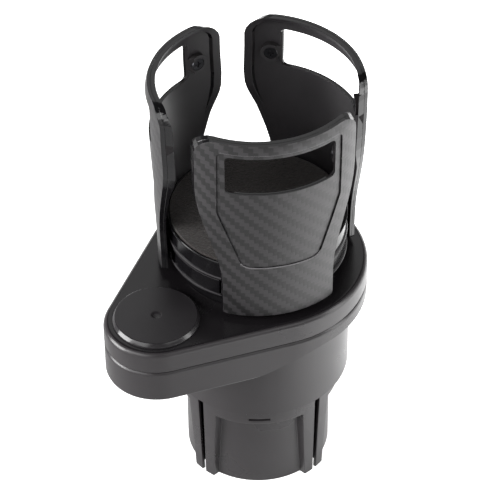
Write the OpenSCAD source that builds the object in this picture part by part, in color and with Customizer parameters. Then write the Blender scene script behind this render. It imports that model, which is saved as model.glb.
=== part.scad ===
// Car cup holder with a second, swinging cup seat.
// The ribbed plug drops into the car's own cup holder and carries a cup well.
// A teardrop tray swings over the well about a pivot in its narrow end.
// The round seat on the tray turns, and three sprung wings grip the cup on it.
// Millimetres. The origin is on the floor, on the plug's axis, with Z up.

/* [Plug sleeve] */
// Radius across the ribs at the foot
plug_foot_r = 34.5; // [33.5:0.1:36]
// How much further out the ribs reach under the cup's shoulder
plug_flare = 1.5; // [0.8:0.1:2.2]
// Depth of the recessed panels between the ribs
panel_depth = 3; // [2.6:0.1:3.4]
// Wall of the sleeve
sleeve_wall = 1.5; // [1.2:0.1:1.8]
// Width of a rib at the foot
rib_foot_w = 11; // [10:0.5:13]
// Width of a rib at the top
rib_top_w = 16; // [14:0.5:18]
// Width of the slit in a rib at the foot
slit_foot_w = 1.8; // [1.4:0.1:2.4]
// Width of the slit in a rib at the top
slit_top_w = 2.8; // [2.2:0.1:3.2]
// Height of the plain band over the panels
band_h = 8.8; // [8:0.1:12]
// Width of the snap catches
catch_w = 9; // [7:0.5:11]
// Angle of the first rib from the X axis
sleeve_turn = 2; // [0:1:15]

/* [Lower cup] */
// Height of the shoulder that sits on the sleeve
shoulder_z = 48.6; // [42:0.1:56]
// How far the shoulder stands out over the ribs
shoulder_w = 3.5; // [3:0.1:4.2]
// Height of the cup between the shoulder and the housing
cup_h = 32.4; // [28:0.1:37]
// Wall of the cup and of the tube in the plug
cup_wall = 2.2; // [1.8:0.1:2.6]
// Thickness of the floor
floor_t = 2.2; // [1.8:0.1:3]
// Thickness of the mat in the bottom of the well
well_mat_t = 1.5; // [1:0.1:2.5]

/* [Lower housing] */
// How far the housing stands out round the cup
pan_out = 7.5; // [7:0.1:8.5]
// Height of the housing at the pivot
pan_h = 15.3; // [14:0.1:19]
// How far its underside rises towards the cup
pan_lift = 8.7; // [6:0.1:9]
// Where that rise starts, from the cup's axis
lift_from = 40; // [37:0.5:42]
// Length of the rise
lift_run = 36; // [30:0.5:50]
// Wall of the housing
pan_wall = 2.6; // [2.2:0.1:3]
// Radius of the rounded top edge
pan_round = 2; // [1:0.1:2.4]
// Thickness of the deck plate
deck_t = 2.2; // [1.8:0.1:2.6]
// How far the deck plate's edge shows inside the cup's wall
deck_lip = 0.3; // [0.2:0.1:0.6]

/* [Swinging tray] */
// Gap between the lower housing and the tray
seam = 0.5; // [0.4:0.1:0.8]
// Height of the tray
tray_h = 10.1; // [9.8:0.1:12]
// Wall of the tray
tray_wall = 2.4; // [2:0.1:2.8]
// Thickness of the tray's top
tray_top_t = 2.2; // [1.8:0.1:2.5]
// Radius of the rounded top edge
tray_round = 2.6; // [2:0.1:3.7]
// Thickness of the plate that closes the tray below
tray_floor_t = 1.7; // [1.4:0.1:2]

/* [Pivot] */
// Radius of the bush on which the tray swings
bush_r = 7; // [6:0.1:8]
// Width of the bush's thrust collar
collar_w = 3.5; // [3:0.1:3.7]
// Radius of the pivot screw's shank
pivot_screw_r = 2.5; // [2:0.1:3]
// Radius of the pivot screw's head
pivot_head_r = 5; // [4.2:0.1:6]
// How far the washer that holds the tray down reaches past the bush
washer_w = 3.8; // [3:0.1:4.4]
// Thickness of the washer
washer_t = 0.9; // [0.8:0.1:1.1]
// Room round the washer under the cap
cap_room = 2.5; // [2:0.1:3]
// Width of the cap's top outside that room
cap_rim = 5; // [4:0.1:6]
// Height of the cap above the tray
cap_h = 2.1; // [1.9:0.1:2.3]
// How far the cap's side slants in
cap_bevel = 1.2; // [0.6:0.1:1.6]
// Width of the tray's edge round the cap
cap_margin = 3.7; // [3.7:0.1:5]
// Gap between the cap and the seat's neck
cap_gap = 5.1; // [4:0.1:7]

/* [Turning seat] */
// How far the seat's lips lie inside the tray's wide end
seat_inset = 9; // [8:0.1:10.5]
// How far the neck lies inside the lips
neck_inset = 3.3; // [2.8:0.1:4]
// Height of the slide channels' floor above the tray
neck_h = 7.6; // [7.3:0.1:10]
// Depth of the bands between the lips
band_depth = 0.7; // [0.4:0.1:1]
// Wall of the seat behind the bands
seat_wall = 1.7; // [1.4:0.1:2]
// Height of the lower band, through which the slides run
channel_h = 8; // [7.6:0.1:9]
// Height of the upper band
upper_h = 9.8; // [9:0.1:12]
// Width of the seat's floor outside its journal
journal_inset = 18; // [17:0.1:20]
// How far the retainer reaches under the tray's top
retainer_w = 5; // [3.5:0.1:5.5]
// Thickness of the soft mat
mat_t = 1.3; // [1:0.1:2]

/* [Wings] */
// Angle of the first wing from the X axis
wing_turn = 0; // [0:1:15]
// How far a wing pulls out
wing_travel = 10; // [6:0.5:11]
// How far the covers hang below the slides' channels
cover_drop = 5; // [4:0.1:5.6]
// Height of a wing
wing_h = 91; // [84:0.5:104]
// How far the wings stand out past the seat's lips
wing_out = 4; // [3.9:0.1:5]
// How far a wing leans out on its way up
wing_lean = 2.8; // [1:0.1:3]
// How far the top edge rolls in
roll_in = 1.4; // [0.6:0.1:2]
// Half angle of the stem, seen from above
stem_span = 33.8; // [31:0.1:35]
// Half angle of the crown, seen from above
crown_span = 47.5; // [46:0.5:51]
// Radius of the crown's corners
crown_corner = 8; // [5:0.5:10]
// Height of the plain stem under the flare
stem_h = 15.5; // [12:0.5:20]
// Height of the crown's upright sides, with its corners
crown_side_h = 26.5; // [22:0.5:30]
// Thickness of the outer cover
cover_t = 1.3; // [1.1:0.1:1.6]
// Thickness of the frame's skin
skin_t = 1; // [0.9:0.1:1.4]
// Depth of the frame's rim at the crown, with the cover
rim_depth = 3.4; // [3.2:0.1:4.5]
// Width of the frame's rim
rim_w = 2.2; // [1.6:0.1:3]

/* [Wing window and shield] */
// Width of the crown beside the window
window_side = 10.5; // [10.4:0.1:14]
// Height of the window
window_h = 18.5; // [14:0.5:20]
// Height of the crown over the window
window_rail = 6.2; // [5:0.1:8]
// How far the sunk shield stands out beside the window
shield_side = 3.1; // [2:0.1:3.6]
// How far the shield's foot is narrower on each side
shield_taper = 9.6; // [6:0.1:12]
// Height of the shield below the window
shield_h = 39.4; // [30:0.1:44]
// Height of the shield's upright sides below the window
shield_side_h = 11.5; // [8:0.5:16]
// Depth of the shield
shield_depth = 0.6; // [0.4:0.1:0.7]

/* [Slides and springs] */
// Half width of a slide's arm
arm_half = 9.6; // [8.5:0.1:10]
// Radius of the stop peg in the arm's slot
peg_r = 2.3; // [2:0.1:2.6]
// Distance of the stop peg from the seat's lips
peg_inset = 8; // [7:0.1:9]
// Radius of the spring's wire
wire_r = 0.35; // [0.25:0.05:0.45]
// Turns of the spring
spring_turns = 6; // [4:1:7]

/* [Screws] */
// Radius of a small screw's shank
screw_r = 1.4; // [1.1:0.1:1.6]
// Length of the deck's and the retainer's screws
screw_l = 9; // [7:0.5:9.5]
// Radius of a small screw's head
screw_head_r = 2.7; // [2.2:0.1:2.9]
// Height of a small screw's head
screw_head_h = 1.3; // [1:0.1:1.5]

/* [Hidden] */
$fn = 96;

// Running gap of a bearing, fit gap of fixed pieces and face gap of moving ones
run_gap = 0.05;
fit_gap = 0.2;
face_gap = 0.2;
// Gap past a screw's tip
tip_gap = 0.4;
// How far a cut runs past the face that it opens
past = 1;

// Radii, from the plug outwards and upwards
plug_top_r = plug_foot_r + plug_flare;
panel_r = plug_foot_r - panel_depth;
tube_r = panel_r - sleeve_wall - fit_gap;
cup_r = plug_top_r + shoulder_w;
well_r = cup_r - cup_wall;
wide_r = cup_r + pan_out;
seat_r = wide_r - seat_inset;
neck_r = seat_r - neck_inset;
journal_r = seat_r - journal_inset;
retainer_r = journal_r + retainer_w;
collar_r = bush_r + collar_w;
washer_r = bush_r + washer_w;
cap_well_r = washer_r + cap_room;
cap_r = cap_well_r + cap_rim;
narrow_r = cap_r + cap_margin;
pivot_x = neck_r + cap_r + cap_gap;

// Heights of the stack
band_z = shoulder_z - band_h;
pan_z = shoulder_z + cup_h;
deck_top = pan_z + pan_h;
deck_z = deck_top - deck_t;
tray_z = deck_top + seam;
tray_top = tray_z + tray_h;
tray_roof = tray_top - tray_top_t;
neck_z = tray_top + face_gap;
channel_z = tray_top + neck_h;
channel_top = channel_z + channel_h;
drum_z = channel_top + fit_gap / 2;
rim_z = drum_z + upper_h;

// Sleeve and its catches
rib_count = 4;
slit_over = 5;
slit_top_z = band_z + slit_over;
catch_rise = 2;
catch_z = band_z + catch_rise;
catch_h = 1.1;
nose = 1.1;
tab_t = 1.3;
tab_room = 0.9;
tab_x = plug_top_r - sleeve_wall - tab_t - tab_room;
shoulder_chamfer = 0.8;
pan_foot_round = 1;

// Outline: an arc round each end, joined by their common tangents
tangent = acos((narrow_r - wide_r) / pivot_x);

// Screw posts of the deck: two in the corners beside the cup, two behind the pivot
post_wall = 1.9;
post_r = screw_r + post_wall;
post_off_cup = 1.3;
post_off_wall = 2.5;
deck_post_r = cup_r + post_r + post_off_cup;
deck_post_a = tangent + acos((wide_r - pan_wall - post_r - post_off_wall) / deck_post_r);
back_post_r = (collar_r + narrow_r - pan_wall) / 2;
back_post_a = 123;
collar_seat = 1;
deck_posts = [for (s = [-1, 1]) each [
    deck_post_r * [cos(deck_post_a), s * sin(deck_post_a)],
    [-pivot_x, 0] + back_post_r * [cos(back_post_a), s * sin(back_post_a)]]];

// Screw posts of the tray: three round the seat and one behind the pivot
tray_post_in = 9;
tray_post_r = wide_r - tray_post_in;
tray_post_back = 2.3;
tray_posts = [[tray_post_r, 0],
    tray_post_r * [cos(120), sin(120)],
    tray_post_r * [cos(120), -sin(120)],
    [-pivot_x - cap_well_r - tray_post_back, 0]];
tray_foot_round = 0.6;

// Pivot stack
hub_wall = 4.2;
hub_sink = 2.6;
hub_top = tray_top - hub_sink;
bush_top = hub_top + face_gap;
thrust_z = tray_z - face_gap;
washer_z = bush_top;
head_z = washer_z + washer_t;
pivot_head_h = 1.8;
pivot_floor = 1;
cap_wall = 1.2;
cap_skirt_t = 1.1;
hub_room = 1.6;
hub_clear = 3;
hub_roof = 0.5;
tie_t = 1.6;
tie_y = 10;
tie_gap = 4.45;
tie_l = pivot_x - cap_well_r - retainer_r - tie_gap;
cap_foot = 0.4;
dimple_r = 2.2;
dimple_sink = 0.4;

// Seat
lip_h = 1;
lip_edge = 0.3;
plate_t = 2;
neck_wall = 2;
web_t = 1.8;
web_rise = 2;
body_r = seat_r - band_depth;
inner_r = body_r - seat_wall;
journal_end = tray_roof - face_gap;
journal_wall = 6;
hub_bore_r = journal_r - journal_wall;
retainer_t = 2;
retainer_post_x = journal_r - journal_wall / 2;
seat_post_in = 9.5;
seat_post_x = seat_r - seat_post_in;
seat_post_r = post_r + 0.6;
drum_floor_t = 1.8;
plate_inset = 1.2;
seat_plate_t = 1.6;
seat_plate_r = seat_r - plate_inset;
mat_sink = 0.6;
mat_edge = 0.4;
mat_z = rim_z - mat_sink;
seat_plate_z = mat_z - seat_plate_t;

// Wings
wing_count = 3;
wing_step = 360 / wing_count;
wing_z = channel_z - cover_drop;
wing_top = wing_z + wing_h;
wing_foot_r = seat_r + wing_out;
wing_crown_r = wing_foot_r + wing_lean;
stem_half = wing_foot_r * sin(stem_span);
crown_half = wing_crown_r * sin(crown_span);
side_gap = 0.1;
cutout_half = stem_half - side_gap;
flare_z = wing_z + stem_h;
crown_z = wing_top - crown_side_h;
lean_end = 8.5;
lean_z = wing_top - lean_end;
frame_sink = cover_t + side_gap;
skin_sink = frame_sink + skin_t;
rim_fall = 19;
rim_run = 10;
rim_low = crown_z - rim_fall;
roll_h = 5;
roll_share = 0.9;
stem_corner = 1.2;
corner_least = 0.2;
core_r = wing_foot_r - 3 * rim_depth;

// Window and shield
window_corner = 2;
window_half = crown_half - window_side;
window_high = wing_top - window_rail;
window_low = window_high - window_h;
shield_over = 1.6;
shield_high = window_high + shield_over;
shield_low = window_low - shield_h;
shield_knee = window_low - shield_side_h;
shield_half = window_half + shield_side;
shield_foot_half = shield_half - shield_taper;
shield_corner = 5;

// Corner bosses inside the frame: each takes a stake of the cover and the screw that holds it
boss_in = 5.9;
boss_drop = 2;
boss_r = 4.4;
boss_rise = 2.4;
boss_sink = 1.1;
boss_floor = 1;
stake_wall = 1.2;
stake_root = 0.3;
thread_sink = 0.6;
boss_a = asin((crown_half - boss_in) / wing_crown_r);
boss_z = (window_low + window_high) / 2 - boss_drop;
boss_face = wing_r(boss_z);
boss_x = boss_face - skin_sink - boss_rise;
stake_x = boss_x + boss_sink + boss_floor;
stake_r = screw_r + stake_wall;
thread_end = boss_face - thread_sink;

// Slides: the slot holds the closed spring, the travel and the peg
arm_rise = 0.3;
arm_z = channel_z + arm_rise;
arm_h = channel_h - 1.6;
slot_gap = 0.3;
slot_half = peg_r + slot_gap;
slot_end_t = 3;
spring_spare = 1.8;
spring_closed = 2 * (spring_turns + 1) * wire_r;
peg_x = seat_r - peg_inset;
slot_in = peg_x - peg_r - wing_travel - spring_closed - spring_spare;
arm_in = slot_in - slot_end_t;
foot_h = 3.5;
foot_side = 2;
foot_half = stem_half - foot_side;
foot_lap = 1;
foot_in = peg_x + foot_lap;
foot_out = wing_foot_r - frame_sink - skin_t / 3;
arm_lap = 4;
rail_t = 1.4;
rail_h = 5.2;
rail_y = arm_half + slot_gap;
rail_in = max(arm_in + 2, (rail_y + rail_t) / tan(60) + rail_t);
wire_gap = 0.15;
spring_r = slot_half - wire_r - wire_gap;
spring_z = arm_z + arm_h / 2;
spring_from = slot_in + wire_r + side_gap;
spring_to = peg_x - peg_r - wire_r - side_gap;
wire_sides = 6;
turn_steps = 12;

// Cross slots in the screws' heads
drive_w = 0.7;
drive_share = 0.55;

// An S-shaped step from 0 to 1
function smooth(t) = let (u = max(0, min(1, t))) u * u * (3 - 2 * u);

// Points of an arc about c
function arc(c, r, from, to, steps) =
    [for (i = [0 : steps]) let (a = from + (to - from) * i / steps) c + r * [cos(a), sin(a)]];

// A polygon's points with its corners rounded to the radii given
function unit(v) = v / norm(v);
function corner(before, p, after, r, steps) =
    let (u = unit(before - p), v = unit(after - p), half = acos(u * v) / 2)
    let (c = p + unit(u + v) * r / sin(half), run = r / tan(half))
    let (m = p + u * run - c, n = p + v * run - c)
    let (a = atan2(m[1], m[0]), turn = atan2(m[0] * n[1] - m[1] * n[0], m * n))
    arc(c, r, a, a + turn, steps);
function rounded(points, radii, steps) =
    let (n = len(points))
    [for (i = [0 : n - 1])
        each corner(points[(i + n - 1) % n], points[i], points[(i + 1) % n], radii[i], steps)];

// The teardrop, drawn in by a distance
function teardrop(inset) = concat(
    arc([0, 0], wide_r - inset, -tangent, tangent, 46),
    arc([-pivot_x, 0], narrow_r - inset, tangent, 360 - tangent, 24));

// A teardrop block with rounded edges, skinned over rings of inset outlines
module teardrop_block(low, high, low_round, high_round) {
    steps = 4;
    levels = concat(
        [for (i = [0 : 2]) let (a = 45 * i)
            [low + low_round * (1 - sin(a)), low_round * (1 - cos(a))]],
        [for (i = [0 : steps]) let (a = 90 * i / steps)
            [high - high_round * (1 - sin(a)), high_round * (1 - cos(a))]]);
    ordered = concat([levels[2], levels[1], levels[0]], [for (i = [3 : steps + 3]) levels[i]]);
    rings = [for (v = ordered) [for (p = teardrop(v[1])) [p[0], p[1], v[0]]]];
    skin(rings);
}

// Closes a solid over rings that have the same number of points
module skin(rings) {
    n = len(rings[0]);
    last = len(rings) - 1;
    sides = [for (i = [0 : last - 1], j = [0 : n - 1])
        [i * n + j, (i + 1) * n + j, (i + 1) * n + (j + 1) % n, i * n + (j + 1) % n]];
    floor_face = [for (j = [0 : n - 1]) j];
    roof_face = [for (j = [n - 1 : -1 : 0]) last * n + j];
    polyhedron(points = [for (r = rings) each r], faces = concat(sides, [floor_face, roof_face]),
        convexity = 4);
}

module teardrop_prism(low, high, inset) {
    translate([0, 0, low])
        linear_extrude(high - low)
            polygon(teardrop(inset));
}

module at_pivot() {
    translate([-pivot_x, 0, 0]) children();
}

// A disc or a ring between two heights
module disc(low, high, r) {
    translate([0, 0, low]) cylinder(h = high - low, r = r);
}

module ring(low, high, outer, inner) {
    translate([0, 0, low])
        difference() {
            cylinder(h = high - low, r = outer);
            translate([0, 0, -past]) cylinder(h = high - low + 2 * past, r = inner);
        }
}

// A small screw that points up, with its head's underside at z = 0
module small_screw(length, head_r = screw_head_r, head_h = screw_head_h, r = screw_r) {
    cross = head_r * drive_share;
    difference() {
        union() {
            translate([0, 0, -head_h]) cylinder(h = head_h, r = head_r, $fn = 32);
            cylinder(h = length, r = r, $fn = 32);
        }
        for (a = [0, 90])
            rotate([0, 0, a])
                translate([-cross, -drive_w / 2, -head_h - past])
                    cube([2 * cross, drive_w, past + head_h / 2]);
    }
}

// Plug sleeve

function plug_r(z) = plug_foot_r + (plug_top_r - plug_foot_r) * z / shoulder_z;

module plug_cone(sink, low, high) {
    translate([0, 0, low])
        cylinder(h = high - low, r1 = plug_r(low) - sink, r2 = plug_r(high) - sink);
}

// Upright wedges, one for each rib, that widen towards the top
module rib_wedges(foot_w, top_w, low, high, inner) {
    for (k = [0 : rib_count - 1])
        rotate([0, 0, sleeve_turn + k * 360 / rib_count])
            translate([inner, 0, 0])
                rotate([90, 0, 90])
                    linear_extrude(plug_top_r + past - inner)
                        polygon([[-foot_w / 2, low], [foot_w / 2, low],
                            [top_w / 2, high], [-top_w / 2, high]]);
}

module plug_sleeve() {
    inside = panel_r - sleeve_wall;
    band_roof = shoulder_z - sleeve_wall;
    color("#4b474a")
    difference() {
        union() {
            disc(0, band_z + sleeve_wall, panel_r);
            intersection() {
                plug_cone(0, 0, shoulder_z);
                union() {
                    disc(band_z, shoulder_z + past, plug_top_r + past);
                    rib_wedges(rib_foot_w, rib_top_w, -past, band_z + past, inside);
                }
            }
        }
        disc(-past, shoulder_z + past, inside);
        // Hollow behind the ribs and the band
        intersection() {
            plug_cone(sleeve_wall, -past, band_roof);
            union() {
                disc(band_z + sleeve_wall, band_roof + past, plug_top_r);
                rib_wedges(rib_foot_w - 2 * sleeve_wall, rib_top_w - 2 * sleeve_wall,
                    -2 * past, band_z + sleeve_wall + past, inside - past);
            }
        }
        // The slits
        rib_wedges(slit_foot_w, slit_top_w, -past, slit_top_z, inside - past);
        // Ways for the snap catches, and the windows that they click into
        for (k = [0 : rib_count - 1])
            rotate([0, 0, sleeve_turn + (k + 0.5) * 360 / rib_count]) {
                translate([tab_x - fit_gap, -catch_w / 2 - fit_gap, shoulder_z - sleeve_wall - past])
                    cube([tab_t + nose + 2 * fit_gap, catch_w + 2 * fit_gap, sleeve_wall + 2 * past]);
                translate([tab_x, -catch_w / 2 - fit_gap, catch_z])
                    cube([plug_top_r, catch_w + 2 * fit_gap, catch_h]);
            }
    }
}

// The underside of the housing, deep at the pivot and shallow round the cup
function pan_under(x) = pan_z + pan_lift * smooth((x + lift_from) / lift_run);

// All that lies below that underside, raised by a distance
module below_pan(raise) {
    steps = 12;
    rotate([90, 0, 0])
        linear_extrude(2 * (wide_r + past), center = true)
            polygon(concat([[-lift_from, pan_z - past]],
                [for (i = [0 : steps]) let (x = -lift_from + lift_run * i / steps)
                    [x, pan_under(x) + raise]],
                [[wide_r + past, pan_under(wide_r) + raise], [wide_r + past, pan_z - past]]));
}

// Lower cup and housing in one moulding

module base_shell() {
    ring_r = wide_r - pan_wall + side_gap;
    color("#4b474a")
    difference() {
        union() {
            // The cup, its shoulder and the tube inside the sleeve
            rotate_extrude()
                polygon([[0, 0], [tube_r, 0], [tube_r, shoulder_z], [cup_r - shoulder_chamfer, shoulder_z],
                    [cup_r, shoulder_z + shoulder_chamfer], [cup_r, pan_under(0) + past],
                    [0, pan_under(0) + past]]);
            difference() {
                teardrop_block(pan_z, deck_top, pan_foot_round, pan_round);
                difference() {
                    teardrop_prism(pan_z + cup_wall, deck_top + past, pan_wall);
                    disc(pan_z, deck_z, ring_r);
                    below_pan(cup_wall);
                }
                below_pan(0);
            }
            at_pivot() disc(pan_z + past, deck_z, collar_r - collar_seat);
            for (p = deck_posts)
                translate([p[0], p[1], 0]) disc(pan_z + past, deck_z, post_r);
            base_catches();
        }
        // The well
        rotate_extrude()
            polygon([[0, floor_t], [tube_r - cup_wall, floor_t],
                [tube_r - cup_wall, shoulder_z + cup_wall], [well_r, shoulder_z + cup_wall],
                [well_r, deck_top + past], [0, deck_top + past]]);
        at_pivot() disc(pan_z + cup_wall, deck_top + past, pivot_screw_r + run_gap);
        for (p = deck_posts)
            translate([p[0], p[1], 0]) disc(pan_z + cup_wall, deck_top + past, screw_r + run_gap);
    }
}

// Tabs that hang from the shoulder, with a nose that clicks into the sleeve
module base_catches() {
    for (k = [0 : rib_count - 1])
        rotate([0, 0, sleeve_turn + (k + 0.5) * 360 / rib_count]) {
            translate([tab_x, -catch_w / 2, catch_z + fit_gap / 2])
                cube([tab_t, catch_w, shoulder_z - catch_z + past]);
            translate([tab_x, -catch_w / 2, catch_z + fit_gap / 2])
                cube([tab_t + nose, catch_w, catch_h - fit_gap]);
        }
}

module well_mat() {
    color("#2b2624")
        disc(floor_t, floor_t + well_mat_t, tube_r - cup_wall - fit_gap);
}

module deck_plate() {
    color("#3a3739")
    difference() {
        teardrop_prism(deck_z, deck_top, pan_wall + fit_gap);
        disc(deck_z - past, deck_top + past, well_r - deck_lip);
        at_pivot() disc(deck_z - past, deck_top + past, collar_r + fit_gap);
        for (p = deck_posts)
            translate([p[0], p[1], 0]) {
                disc(deck_z - past, deck_top, screw_r + fit_gap);
                disc(deck_top - screw_head_h, deck_top + past, screw_head_r + fit_gap);
            }
    }
}

module deck_screws() {
    color("#8a8a8c")
    for (p = deck_posts)
        translate([p[0], p[1], deck_top - screw_head_h]) rotate([180, 0, 0]) small_screw(screw_l);
}

// Pivot

module pivot_bush() {
    color("#2e2c2d")
    at_pivot()
        difference() {
            union() {
                disc(deck_z, thrust_z, collar_r);
                disc(thrust_z, bush_top, bush_r);
            }
            disc(deck_z - past, bush_top + past, pivot_screw_r + run_gap);
        }
}

module pivot_washer() {
    color("#9a9a9c")
        at_pivot() ring(washer_z, washer_z + washer_t, washer_r, pivot_screw_r + run_gap);
}

module pivot_screw() {
    color("#8a8a8c")
    translate([-pivot_x, 0, head_z])
        rotate([180, 0, 0])
            small_screw(head_z - pan_z - cup_wall - pivot_floor, pivot_head_r, pivot_head_h,
                pivot_screw_r);
}

module pivot_cap() {
    top = tray_top + cap_h;
    skirt_r = cap_well_r - fit_gap;
    color("#3f3c3e")
    at_pivot()
        difference() {
            union() {
                rotate_extrude()
                    polygon([[0, tray_top], [cap_r, tray_top], [cap_r, tray_top + cap_foot],
                        [cap_r - cap_bevel, top], [0, top]]);
                ring(hub_top + slot_gap, tray_top + past, skirt_r, skirt_r - cap_skirt_t);
            }
            disc(hub_top, top - cap_wall, skirt_r - cap_skirt_t - side_gap);
            // A shallow dimple in the middle
            translate([0, 0, top - dimple_sink])
                cylinder(h = 2 * dimple_sink, r1 = dimple_r / 2, r2 = 1.5 * dimple_r, $fn = 48);
        }
}

// Swinging tray

module tray_shell() {
    color("#4b474a")
    difference() {
        union() {
            difference() {
                teardrop_block(tray_z, tray_top, tray_foot_round, tray_round);
                teardrop_prism(tray_z - past, tray_roof, tray_wall);
            }
            at_pivot() disc(tray_z, tray_top - hub_roof, cap_well_r + hub_room);
            for (p = tray_posts)
                translate([p[0], p[1], 0])
                    disc(tray_z + tray_floor_t + face_gap, tray_roof + past / 2, post_r);
            // Ribs that run from the pivot towards the seat's opening
            for (s = [-1, 1])
                translate([-pivot_x + cap_well_r, s * tie_y - tie_t / 2, tray_z + tray_floor_t + face_gap])
                    cube([tie_l, tie_t, tray_roof - tray_z - tray_floor_t]);
        }
        disc(tray_z - past, tray_top + past, journal_r + run_gap);
        at_pivot() {
            disc(tray_z - past, tray_top + past, bush_r + run_gap);
            disc(hub_top, tray_top + past, cap_well_r);
        }
        // The hub stands clear of the floor plate's hole
        at_pivot()
            ring(tray_z - past, tray_z + tray_floor_t + face_gap, cap_well_r + hub_clear,
                bush_r + hub_wall);
        for (p = tray_posts)
            translate([p[0], p[1], 0]) disc(tray_z, tray_roof - tip_gap, screw_r + run_gap);
    }
}

module tray_floor() {
    color("#3a3739")
    difference() {
        teardrop_prism(tray_z + face_gap / 2, tray_z + tray_floor_t + face_gap / 2, tray_wall + fit_gap);
        at_pivot() disc(tray_z - past, tray_z + 2 * tray_floor_t, bush_r + hub_wall + fit_gap);
        for (p = tray_posts)
            translate([p[0], p[1], 0]) {
                disc(tray_z - past, tray_z + 2 * tray_floor_t, screw_r + fit_gap);
                disc(tray_z - past, tray_z + screw_head_h, screw_head_r + fit_gap);
            }
    }
}

module tray_screws() {
    color("#8a8a8c")
    for (p = tray_posts)
        translate([p[0], p[1], tray_z + screw_head_h])
            small_screw(tray_roof - tray_z - screw_head_h - 2 * tip_gap);
}

// Turning seat

// Copies for the three wings, and for the three posts between them
module at_wings() {
    for (k = [0 : wing_count - 1])
        rotate([0, 0, wing_turn + k * wing_step]) children();
}

module at_posts(x) {
    for (k = [0 : wing_count - 1])
        rotate([0, 0, wing_turn + (k + 0.5) * wing_step])
            translate([x, 0, 0]) children();
}

module seat_base() {
    floor_z = channel_z - plate_t;
    color("#232122")
    difference() {
        union() {
            ring(neck_z, floor_z + past, neck_r, neck_r - neck_wall);
            ring(journal_end, floor_z + past, journal_r, hub_bore_r);
            disc(floor_z, channel_z, body_r);
            ring(channel_z - lip_h, channel_z, seat_r, journal_r);
            // Webs between the journal and the neck
            for (k = [0 : 5])
                rotate([0, 0, wing_turn + 30 + 60 * k])
                    translate([journal_r - past, -web_t / 2, neck_z + web_rise])
                        cube([neck_r - neck_wall - journal_r + 2 * past, web_t,
                            floor_z - neck_z - web_rise + past]);
            // The lower band, with a way out for each slide
            difference() {
                union() {
                    ring(channel_z - past, channel_top, body_r, inner_r);
                    ring(channel_top - lip_h / 2, channel_top, seat_r, inner_r);
                }
                at_wings()
                    translate([0, -cutout_half, channel_z])
                        cube([seat_r + past, 2 * cutout_half, channel_h + past]);
            }
            at_posts(seat_post_x) disc(channel_z - past, channel_top, seat_post_r);
            at_wings() {
                translate([peg_x, 0, 0]) disc(channel_z - past, arm_z + arm_h, peg_r);
                for (s = [-1, 1])
                    translate([rail_in, s * (rail_y + rail_t / 2) - rail_t / 2, channel_z - past])
                        cube([peg_x - rail_in, rail_t, rail_h + past]);
            }
        }
        at_posts(seat_post_x) disc(neck_z, channel_top + past, screw_r + run_gap);
        at_posts(retainer_post_x) disc(journal_end - past, floor_z - past, screw_r + run_gap);
    }
}

module seat_retainer() {
    color("#3a3739")
    difference() {
        ring(journal_end - retainer_t, journal_end, retainer_r, hub_bore_r);
        at_posts(retainer_post_x)
            disc(journal_end - retainer_t - past, journal_end + past, screw_r + fit_gap);
    }
}

module retainer_screws() {
    color("#8a8a8c")
        at_posts(retainer_post_x)
            translate([0, 0, journal_end - retainer_t]) small_screw(screw_l);
}

module seat_drum() {
    color("#1f1d1e")
    difference() {
        rotate_extrude()
            polygon([[0, drum_z], [seat_r, drum_z], [seat_r, drum_z + lip_h], [body_r, drum_z + lip_h],
                [body_r, rim_z - lip_h], [seat_r, rim_z - lip_h], [seat_r, rim_z - lip_edge],
                [seat_r - lip_edge, rim_z], [seat_plate_r + fit_gap, rim_z],
                [seat_plate_r + fit_gap, seat_plate_z], [inner_r, seat_plate_z],
                [inner_r, drum_z + drum_floor_t], [0, drum_z + drum_floor_t]]);
        at_posts(seat_post_x) disc(drum_z - past, seat_plate_z, screw_r + run_gap);
    }
    color("#1f1d1e")
        difference() {
            at_posts(seat_post_x) disc(drum_z + drum_floor_t / 2, seat_plate_z, seat_post_r);
            at_posts(seat_post_x) disc(drum_z - past, seat_plate_z - past, screw_r + run_gap);
        }
}

module seat_screws() {
    foot_z = channel_z - plate_t;
    color("#8a8a8c")
        at_posts(seat_post_x)
            translate([0, 0, foot_z]) small_screw(seat_plate_z - foot_z - 4 * tip_gap);
}

module seat_plate() {
    color("#1f1d1e")
        disc(seat_plate_z, mat_z, seat_plate_r);
}

module seat_mat() {
    top = mat_z + mat_t;
    color("#2b2624")
        rotate_extrude()
            polygon([[0, mat_z], [seat_plate_r, mat_z], [seat_plate_r, top - mat_edge],
                [seat_plate_r - mat_edge, top], [0, top]]);
}

// Wings: each is laid out along X, with its width along Y

// Outer radius of a wing at a height
function wing_r(z) =
    let (u = max(0, min(1, (z - wing_top + roll_h) / roll_h)))
    wing_foot_r + (wing_crown_r - wing_foot_r) * smooth((z - wing_z) / (lean_z - wing_z))
        - roll_in * (1 - sqrt(1 - roll_share * u * u));

// How deep the edge lies under the outer face: the skin alone on the stem, the full rim above it
function rim_sink(z) = z > rim_low ? rim_depth : skin_sink;

wing_heights = concat(
    [for (i = [0 : 5]) wing_z + (rim_low - wing_z) * i / 5],
    [for (i = [0 : 3]) let (low = rim_low + rim_run) low + (wing_top - roll_h - low) * i / 3],
    [for (i = [1 : 3]) wing_top - roll_h + roll_h * i / 3]);

// The band of revolution between two depths under the outer face
module wing_band(outer_sink, inner) {
    low = wing_z - 2 * past;
    high = wing_top + past;
    rotate_extrude()
        polygon(concat(
            [[wing_r(wing_z) - outer_sink, low]],
            [for (z = wing_heights) [wing_r(z) - outer_sink, z]],
            [[wing_r(wing_top) - outer_sink, high], [inner[len(inner) - 1], high]],
            [for (i = [len(wing_heights) - 1 : -1 : 0]) [inner[i], wing_heights[i]]],
            [[inner[0], low]]));
}

function depths(sink) = [for (z = wing_heights) wing_r(z) - sink];
function rim_depths() = [for (z = wing_heights) wing_r(z) - rim_sink(z)];
function core(r) = [for (z = wing_heights) r];

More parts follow.
